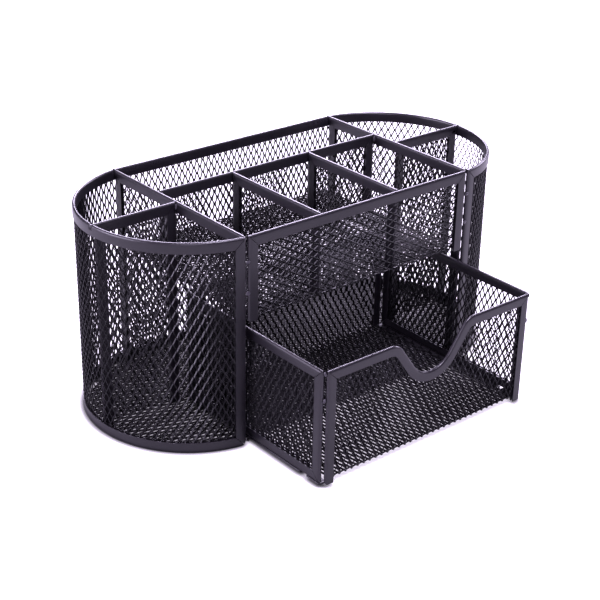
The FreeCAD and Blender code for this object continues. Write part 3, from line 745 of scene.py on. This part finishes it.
def rounded(points, radii):
    """Points along a run whose inner corners are rounded by their radii."""
    line = [points[0]]
    for before, corner, after, radius in zip(points, points[1:], points[2:], radii):
        back = (before - corner).normalized()
        ahead = (after - corner).normalized()
        half = back.angle(ahead) / 2
        reach = radius / math.tan(half)
        centre = corner + (back + ahead).normalized() * (radius / math.sin(half))
        start = (corner + back * reach - centre).normalized()
        side = (corner + ahead * reach - centre).normalized()
        square = (side - start * side.dot(start)).normalized()
        line += arc(centre, start, square, radius, 0, start.angle(side))
    return line + [points[-1]]


def along(points):
    """Distance of each point from the start of its run."""
    steps = [0.0]
    for before, after in zip(points, points[1:]):
        steps.append(steps[-1] + (after - before).length)
    return steps


HALF_DEPTH = (BACK_Y - FRONT_Y) / 2
END_BULGE = END_TIP_X - DIVIDER_X
END_RADIUS = (HALF_DEPTH ** 2 + END_BULGE ** 2) / (2 * END_BULGE)
END_CENTRE_X = DIVIDER_X + END_BULGE - END_RADIUS
END_ANGLE = math.asin(HALF_DEPTH / END_RADIUS)
REAR_BEND_Y = HALF_DEPTH - REAR_BEND_RADIUS
REAR_BEND_X = END_CENTRE_X + math.sqrt((END_RADIUS - REAR_BEND_RADIUS) ** 2 - REAR_BEND_Y ** 2)
REAR_ANGLE = math.atan2(REAR_BEND_Y, REAR_BEND_X - END_CENTRE_X)


def left_half_plan(offset=0.0, height=0.0):
    """Left half of the outer wall in plan, from its front end to the start of the straight back."""
    end_middle = Vector((-END_CENTRE_X, BODY_Y, height))
    end = arc(end_middle, -RIGHT, REAR, END_RADIUS + offset, -END_ANGLE, END_ANGLE + REAR_ANGLE, WALL_STEP)
    bend_middle = Vector((-REAR_BEND_X, BODY_Y + REAR_BEND_Y, height))
    bend_turn = math.pi / 2 - REAR_ANGLE
    bend = arc(bend_middle, -RIGHT, REAR, REAR_BEND_RADIUS + offset, REAR_ANGLE, bend_turn, ARC_STEP)
    return end + bend[1:]


def mirrored(points):
    return [Vector((-point.x, point.y, point.z)) for point in points]


def wall_plans(height=0.0):
    """Word and plan line of each half of the outer wall, from its front end to the seam in the back."""
    half = left_half_plan(height=height)
    left = half + [Vector((SEAM_X, BACK_Y, height))]
    right = mirrored(half) + [Vector((SEAM_X, BACK_Y, height))]
    return (("left", left), ("right", right))


def notch_line(offset):
    """Top edge of the drawer front with its finger notch, moved down into the sheet by an offset."""
    half_turn = math.tan(NOTCH_FLANK / 2)
    shoulder_x = NOTCH_HALF_WIDTH - NOTCH_SHOULDER * half_turn
    foot_x = shoulder_x - NOTCH_DEPTH / math.tan(NOTCH_FLANK)
    foot_radius = foot_x / half_turn
    shoulder_x += offset * half_turn
    foot_x += offset * half_turn
    top = DRAWER_TOP - offset
    foot = top - NOTCH_DEPTH
    spots = [
        (-DRAWER_INNER, top), (-shoulder_x, top), (-foot_x, foot), (foot_x, foot), (shoulder_x, top),
        (DRAWER_INNER, top),
    ]
    points = [Vector((x, DRAWER_FRONT_Y, z)) for x, z in spots]
    shoulder, foot_turn = NOTCH_SHOULDER - offset, foot_radius + offset
    return rounded(points, [shoulder, foot_turn, foot_turn, shoulder])


# ---- Outer wall ---------------------------------------------------------------------

MITRED = {"start_mitre": 1.0, "end_mitre": 1.0, "start_gap": MITRE_GAP, "end_gap": MITRE_GAP}


def outer_rims(name, height, inward, laps=False, corner=0.0):
    """Folded channel round each half of the wall; the two butt at the seam near the middle of the back."""
    for word, line in wall_plans(height):
        rim = channel(
            line, inward, start_mitre=1.0, start_gap=MITRE_GAP, start_corner=corner, end_gap=SEAM_GAP / 2)
        rim.name = rim.data.name = f"{word}_{name}_channel"
        if laps:
            cut_laps(rim)
        fitted(rim, "stand", [f"{word}_{name}"])


def cut_laps(rim):
    """Notches in the outer top rim, where the rims of the dividers lap over it."""
    half = HALF_CHANNEL + LAP_CLEARANCE
    end_y = middle("left_end_divider_top_rim", 1)
    spots = []
    for side in (-1, 1):
        spots.append((side * DIVIDER_X, BACK_Y, half, CHANNEL))
        spots.append((side * END_TIP_X, end_y, CHANNEL, half))
    tools = bmesh.new()
    for x, y, reach_x, reach_y in spots:
        sizes = Matrix.Diagonal((2 * reach_x, 2 * reach_y, 2 * LAP_DEPTH, 1))
        bmesh.ops.create_cube(tools, size=1, matrix=Matrix.Translation((x, y, BODY_TOP)) @ sizes)
    mesh = bpy.data.meshes.new("lap_tools")
    tools.to_mesh(mesh)
    tools.free()
    tool = bpy.data.objects.new("lap_tools", mesh)
    bpy.context.scene.collection.objects.link(tool)
    modifier = rim.modifiers.new("laps", "BOOLEAN")
    modifier.object = tool
    modifier.solver = "EXACT"
    graph = bpy.context.evaluated_depsgraph_get()
    rim.data = bpy.data.meshes.new_from_object(
        rim.evaluated_get(graph), preserve_all_data_layers=True, depsgraph=graph)
    rim.modifiers.clear()
    bpy.data.objects.remove(tool)


outer_rims("outer_top_rim", BODY_TOP, -UP, laps=True)
outer_rims("outer_bottom_rim", 0.0, UP, corner=POST_CORNER)

for side, word in ((-1, "left"), (1, "right")):
    foot = Vector((side * (END_CENTRE_X + END_RADIUS * math.cos(END_ANGLE)), FRONT_Y, 0))
    heading = Vector((side * math.sin(END_ANGLE), math.cos(END_ANGLE), 0))
    head = foot + UP * BODY_TOP
    post = channel([foot, head], heading, start_corner=POST_CORNER, bow=side / (2 * END_RADIUS), **MITRED)
    post.name = post.data.name = f"{word}_front_post_channel"
    fitted(post, "stand", [f"{word}_front_post"])

for word, line in wall_plans():
    seam_at = along(line)[-1]
    lattice(
        f"{word}_outer_wall_lattice", line,
        upright(SEATED, seam_at - SEAM_GAP / 2, SEATED, BODY_TOP - SEATED), UP, "stand",
        f"{word}_outer_wall_mesh", anchor=(seam_at - SHORT_PITCH / 4, BODY_TOP / 2))


# ---- Floor, front panel and shelf ----------------------------------------------------

floor_left = left_half_plan(-HALF_CHANNEL - FLOOR_GAP)
floor_outline = floor_left + mirrored(floor_left)[::-1]
lattice(
    "floor_lattice", [Vector((-END_TIP_X, 0, FLOOR_Z)), Vector((END_TIP_X, 0, FLOOR_Z))],
    [(point.x + END_TIP_X, point.y) for point in floor_outline],
    REAR, "stand", "floor_mesh", along=True)

front_half = high("front_panel_top_rim", 0)
shelf_mid = SHELF_TOP - SHELF_SHEET / 2
shelf_path = rounded([
    Vector((0, FRONT_Y, BODY_TOP)), Vector((0, FRONT_Y, shelf_mid)),
    Vector((0, BACK_Y - SHELF_SHEET, shelf_mid)),
], [SHELF_BEND])
shelf_length = along(shelf_path)[-1]
fold_at = BODY_TOP - SHELF_TOP - SHELF_BEND
bent_at = fold_at + SHELF_NECK
shelf_half = DIVIDER_X - HALF_CHANNEL - SHELF_GAP
panel_half = front_half - SEATED
fold_half = front_half - CHANNEL_DEPTH - SHEET_GAP
shelf_side = [
    (SEATED, panel_half), (fold_at, panel_half), (fold_at, fold_half),
    (bent_at, fold_half), (bent_at, shelf_half), (shelf_length, shelf_half),
]
lattice(
    "front_panel_and_shelf_lattice", shelf_path, shelf_side + [(p, -q) for p, q in reversed(shelf_side)],
    RIGHT, "stand", "front_panel_and_shelf_mesh", tilt=-STRAND_TILT)


# ---- Panels edged with channel --------------------------------------------------------


def edged_panel(name, start, end, foot, top, body, words, depth=CHANNEL_DEPTH, foot_rim=False, corner=0.0,
                start_corner=None, lap=0.0, top_rim=True, mesh=True, tilt=STRAND_TILT):
    """An upright sheet from start to end in plan, with its rims and bands. Words name its two bands."""
    way = (end - start).normalized()
    length = (end - start).length
    low_z = UP * foot
    high_z = UP * top
    foot_cut = {"start_mitre": 1.0, "start_gap": MITRE_GAP} if foot_rim else {}
    runs = []
    nodes = []
    if top_rim:
        crest = channel(
            [start + high_z, end + high_z], -UP, depth, start_mitre=1.0, start_gap=MITRE_GAP,
            end_mitre=1.0, end_gap=0.0 if lap else MITRE_GAP)
        runs.append(crest)
        nodes.append(f"{name}_{top_rim if isinstance(top_rim, str) else 'top_rim'}")
    if lap:
        runs.append(channel([end + high_z, end + high_z + way * lap], -UP, LAP_DEPTH, start_mitre=-1.0))
    for spot, inward, word, last in ((start, way, words[0], False), (end, -way, words[1], True)):
        cuts = {"end_mitre": 1.0, "end_gap": MITRE_GAP}
        if last and lap:
            cuts = {"end_mitre": 1.0, "end_gap": 2 * MITRE_GAP, "end_flat": LAP_DEPTH + MITRE_GAP}
        bend = start_corner if start_corner is not None and not last else corner
        runs.append(channel(
            [spot + low_z, spot + high_z], inward, depth, start_corner=bend, **foot_cut, **cuts))
        nodes.append(f"{name}_{word}")
    if foot_rim:
        runs.append(channel(
            [start + low_z, end + low_z], UP, depth, start_corner=corner, end_corner=corner, **MITRED))
        nodes.append(f"{name}_foot_rim")
    fitted(joined(f"{name}_edging", runs), body, nodes)
    if mesh:
        low_edge = foot + (SEATED if foot_rim else SHEET_GAP)
        lattice(
            f"{name}_lattice", [start, end], upright(SEATED, length - SEATED, low_edge, top - SEATED),
            UP, body, f"{name}_mesh", tilt=tilt)


def plan(x, y):
    return Vector((x, y, 0))


def across_ends(half, y):
    """Ends in plan of a panel that runs from left to right."""
    return plan(-half, y), plan(half, y)


def deep_ends(node):
    """Ends in plan of a panel that runs from front to back, read from its rim."""
    x = middle(node, 0)
    return plan(x, low(node, 1)), plan(x, high(node, 1))


edged_panel(
    "front_panel", *across_ends(front_half, FRONT_Y), low("front_panel_left_band", 2), BODY_TOP,
    "stand", ("left_band", "right_band"), corner=BAND_CORNER, mesh=False)

for side, word in ((-1, "left"), (1, "right")):
    name = f"{word}_cross_divider"
    x = side * DIVIDER_X
    foot = low(f"{name}_front_band", 2)
    rear = high(f"{name}_rear_band", 1)
    edged_panel(
        name, plan(x, low(f"{name}_front_band", 1)), plan(x, rear), foot, BODY_TOP, "stand",
        ("front_band", "rear_band"), lap=high(f"{name}_top_rim", 1) - rear)

    name = f"{word}_end_divider"
    y = middle(f"{name}_top_rim", 1)
    inner_x = DIVIDER_X + HALF_CHANNEL
    outer_x = high("right_end_divider_outer_band", 0)
    edged_panel(
        name, plan(side * inner_x, y), plan(side * outer_x, y), low(f"{name}_inner_band", 2), BODY_TOP,
        "stand", ("inner_band", "outer_band"), lap=high("right_end_divider_top_rim", 0) - outer_x)

    name = f"{word}_small_divider"
    edged_panel(
        name, *deep_ends(f"{name}_top_rim"), SHELF_TOP, BODY_TOP, "stand", ("front_band", "rear_band"),
        start_corner=POST_CORNER)

long_ends = across_ends(high("long_divider_top_rim", 0), middle("long_divider_top_rim", 1))
edged_panel(
    "long_divider", *long_ends, SHELF_TOP, BODY_TOP, "stand", ("left_band", "right_band"),
    tilt=-STRAND_TILT)


# ---- Drawer ---------------------------------------------------------------------------

drawer_foot = low("drawer_front_left_band", 2)
for side, word in ((-1, "left"), (1, "right")):
    name = f"drawer_{word}_side"
    edged_panel(
        name, *deep_ends(f"{name}_top_rim"), DRAWER_BASE, DRAWER_TOP, "drawer", ("front_band", "rear_band"),
        DRAWER_CHANNEL_DEPTH, foot_rim=True, corner=BAND_CORNER,
        tilt=-STRAND_TILT if side < 0 else FLAT_TILT)

edged_panel(
    "drawer_back", *across_ends(DRAWER_INNER, DRAWER_BACK_Y), drawer_foot, DRAWER_TOP, "drawer",
    ("left_band", "right_band"), DRAWER_CHANNEL_DEPTH, corner=BAND_CORNER, top_rim="rim", mesh=False)

crest = notch_line(0)
neighbours = zip([crest[0]] + crest, crest[1:] + [crest[-1]])
tangents = [(after - before).normalized() for before, after in neighbours]
front_runs = [channel(crest, [REAR.cross(t) for t in tangents], DRAWER_CHANNEL_DEPTH, **MITRED)]
for side in (-1, 1):
    x = side * DRAWER_INNER
    front_runs.append(channel(
        [Vector((x, DRAWER_FRONT_Y, drawer_foot)), Vector((x, DRAWER_FRONT_Y, DRAWER_TOP))], RIGHT * -side,
        DRAWER_CHANNEL_DEPTH, start_corner=BAND_CORNER, end_mitre=1.0, end_gap=MITRE_GAP))
fitted(
    joined("drawer_front_edging", front_runs), "drawer",
    ["drawer_front_notched_rim", "drawer_front_left_band", "drawer_front_right_band"])

drawer_sheet_z = low("drawer_front_floor_back_mesh", 2) + SHELF_SHEET / 2
wrap_path = rounded([
    Vector((0, DRAWER_FRONT_Y, DRAWER_TOP)), Vector((0, DRAWER_FRONT_Y, drawer_sheet_z)),
    Vector((0, DRAWER_BACK_Y, drawer_sheet_z)), Vector((0, DRAWER_BACK_Y, DRAWER_TOP)),
], [DRAWER_BEND, DRAWER_BEND])
wrap_length = along(wrap_path)[-1]
neck_from = DRAWER_TOP - drawer_sheet_z - DRAWER_BEND - DRAWER_NECK_FROM
neck_to = DRAWER_TOP - drawer_sheet_z + DRAWER_NECK_TO
panel_half = DRAWER_INNER - SEATED
neck_half = DRAWER_INNER - DRAWER_CHANNEL_DEPTH - SHEET_GAP
floor_half = DRAWER_INNER - DRAWER_FLOOR_GAP
notch = [(DRAWER_TOP - p.z, p.x) for p in notch_line(SEATED)[1:-1]]
wrap_side = [
    (SEATED, panel_half), (neck_from, panel_half), (neck_from, neck_half), (neck_to, neck_half),
    (neck_to, floor_half),
]
wrap_side += [(wrap_length - p, q) for p, q in reversed(wrap_side)]
wrap_outline = [(SEATED, -panel_half)] + notch + wrap_side + [(p, -q) for p, q in reversed(wrap_side[1:])]
lattice(
    "drawer_front_floor_back_lattice", wrap_path, wrap_outline, RIGHT, "drawer",
    "drawer_front_floor_back_mesh", along=True, tilt=-STRAND_TILT, strand_width=DRAWER_STRAND_WIDTH)

runner_z = middle("drawer_left_runner", 2)
runner_thickness = high("drawer_left_runner", 2) - low("drawer_left_runner", 2)
runner_fold = {
    "width": runner_thickness, "wall": runner_thickness * RUNNER_WALL_SHARE,
    "fold_height": runner_thickness / 2, "fold_thickness": runner_thickness * (1 - RUNNER_WALL_SHARE),
    "start_corner": FEET_CORNER, "end_corner": FEET_CORNER,
}
for side, word in ((-1, "left"), (1, "right")):
    node = f"drawer_{word}_runner"
    outer_x = side * high("drawer_right_runner", 0)
    width = high(node, 0) - low(node, 0)
    ys = sorted({round(v.co.y, 5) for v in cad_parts[node].data.vertices})
    runs = []
    for start_y, end_y in ((ys[0], ys[1]), (ys[2], ys[3])):
        line = [Vector((outer_x, start_y, runner_z)), Vector((outer_x, end_y, runner_z))]
        runs.append(channel(line, RIGHT * -side, width, **runner_fold))
    fitted(joined(f"{node}_hem", runs), "drawer", [node])


# ---- Spot welds -----------------------------------------------------------------------


def lumps_of(node):
    """Lowest and highest corner of each separate solid of a node."""
    mesh = bmesh.new()
    mesh.from_mesh(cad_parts[node].data)
    bmesh.ops.remove_doubles(mesh, verts=mesh.verts, dist=SAME_SPOT)
    left = set(mesh.verts)
    boxes = []
    while left:
        group = [left.pop()]
        for vert in group:
            for edge in vert.link_edges:
                other = edge.other_vert(vert)
                if other in left:
                    left.discard(other)
                    group.append(other)
        spots = np.array([tuple(vert.co) for vert in group])
        boxes.append((Vector(spots.min(0)), Vector(spots.max(0))))
    mesh.free()
    return sorted(boxes, key=lambda box: tuple(box[0]))


for node, body in (("body_weld_beads", "stand"), ("drawer_weld_beads", "drawer")):
    boxes = lumps_of(node)
    cloud = flat_object(node + "_cloud", [(a + b) / 2 for a, b in boxes])
    arrows(cloud, "size", [(b - a) * LUMP_GROWTH for a, b in boxes])
    beads = settled(node + "_lumps", cloud, WELD_LUMPS, {}, WELD_COAT)
    fitted(beads, body, [node])


# ---- Floor, light and camera ------------------------------------------------------------

# Painted shade on the paper: how far the stand's occlusion reaches, and how steeply it darkens.
PAINTED_SHADE_REACH = 3.0 * MM
PAINTED_SHADE_FALLOFF = 2.6
PAPER_GLOW = 1.05
PAPER_TINT = (1.0, 0.92, 1.08, 1)
PAPER_SHADE = 0.54
PAPER_ROUGHNESS = 0.9
PAPER_HALF = 4
WALL_LIGHT = 0.04
LAVENDER = (1.0, 0.88, 1.2)

scene = bpy.context.scene
sheet = [(p, q, 0) for p, q in upright(-PAPER_HALF, PAPER_HALF, -PAPER_HALF, PAPER_HALF)]
floor = flat_object("studio_floor", sheet, faces=[(0, 1, 2, 3)])
paper = bpy.data.materials.new("studio_paper")
paper.use_nodes = True
paper.node_tree.nodes.clear()
g = Graph(paper.node_tree)
paper.node_tree.nodes.remove(g.group_in)
# Painted shade: the paper's glow and colour are darkened by occlusion, under the mesh floor and at the foot
# of the stand.
openness = g.field("ShaderNodeAmbientOcclusion", (1, 1, 1, 1), PAINTED_SHADE_REACH, output="AO")
seen = g.field("ShaderNodeLightPath", output="Is Camera Ray")
painted_contact_shade = g.math("POWER", openness, PAINTED_SHADE_FALLOFF)
glow = g.node("ShaderNodeEmission", PAPER_TINT, seen * painted_contact_shade * PAPER_GLOW)
matt = g.node("ShaderNodeBsdfPrincipled")
g.feed(matt.inputs["Base Color"], g.scaled((PAPER_SHADE, PAPER_SHADE, PAPER_SHADE), painted_contact_shade))
matt.inputs["Roughness"].default_value = PAPER_ROUGHNESS
both = g.node("ShaderNodeAddShader", glow.outputs[0], matt.outputs[0])
g.feed(g.node("ShaderNodeOutputMaterial").inputs["Surface"], both.outputs[0])
floor.data.materials.append(paper)

world = bpy.data.worlds.new("studio_walls")
world.use_nodes = True
world.node_tree.nodes.clear()
g = Graph(world.node_tree)
world.node_tree.nodes.remove(g.group_in)
seen = g.field("ShaderNodeLightPath", output="Is Camera Ray")
walls = g.node("ShaderNodeBackground", (1, 1, 1, 1), seen * (1 - WALL_LIGHT) + WALL_LIGHT)
g.feed(g.node("ShaderNodeOutputWorld").inputs["Surface"], walls.outputs[0])
scene.world = world


def soft_box(name, spot, aim, width, height, power):
    light = bpy.data.lights.new(name, "AREA")
    light.shape = "RECTANGLE"
    light.size = width
    light.size_y = height
    light.energy = power
    light.color = LAVENDER
    lamp = bpy.data.objects.new(name, light)
    scene.collection.objects.link(lamp)
    facing = (aim - spot).to_track_quat("-Z", "Y").to_matrix().to_4x4()
    lamp.matrix_world = Matrix.Translation(spot) @ facing


MIDDLE = Vector((0, 0, 50 * MM))
for word, spot, width, height, power in (
    ("above", (0.03, -0.42, 0.95), 0.4, 0.3, 10.5),
    ("above_left", (-0.48, 0.2, 0.95), 0.3, 0.3, 1.5),
    ("left", (-1.2, 0.42, 0.42), 1.0, 0.45, 20),
    ("right", (1.2, 0.0, 0.5), 0.4, 0.35, 8),
    ("front", (-0.75, -0.92, 0.6), 0.5, 0.4, 5),
    ("behind", (0.7, 0.85, 0.85), 0.9, 0.45, 34),
):
    soft_box(f"soft_box_{word}", Vector(spot), MIDDLE, width, height, power)

AZIMUTH = math.radians(-40.05)
ELEVATION = math.radians(25.83)
ROLL = math.radians(1.14)
DISTANCE = 670.2 * MM
TARGET = Vector((-16.53, -2.85, 50)) * MM
FOCAL_PIXELS = 1388
FRAME_PIXELS = 600
SENSOR = 36

back = Vector((
    math.sin(AZIMUTH) * math.cos(ELEVATION), -math.cos(AZIMUTH) * math.cos(ELEVATION), math.sin(ELEVATION)))
level = Vector((math.cos(AZIMUTH), math.sin(AZIMUTH), 0))
raised = back.cross(level)
right = level * math.cos(ROLL) + raised * math.sin(ROLL)
over = raised * math.cos(ROLL) - level * math.sin(ROLL)
lens = bpy.data.cameras.new("camera")
lens.sensor_width = SENSOR
lens.lens = FOCAL_PIXELS * SENSOR / FRAME_PIXELS
lens.clip_start = 10 * MM
lens.clip_end = 20
camera = bpy.data.objects.new("camera", lens)
scene.collection.objects.link(camera)
facing = Matrix((right, over, back)).transposed().to_4x4()
camera.matrix_world = Matrix.Translation(TARGET + back * DISTANCE) @ facing
scene.camera = camera
scene.view_settings.view_transform = "Standard"
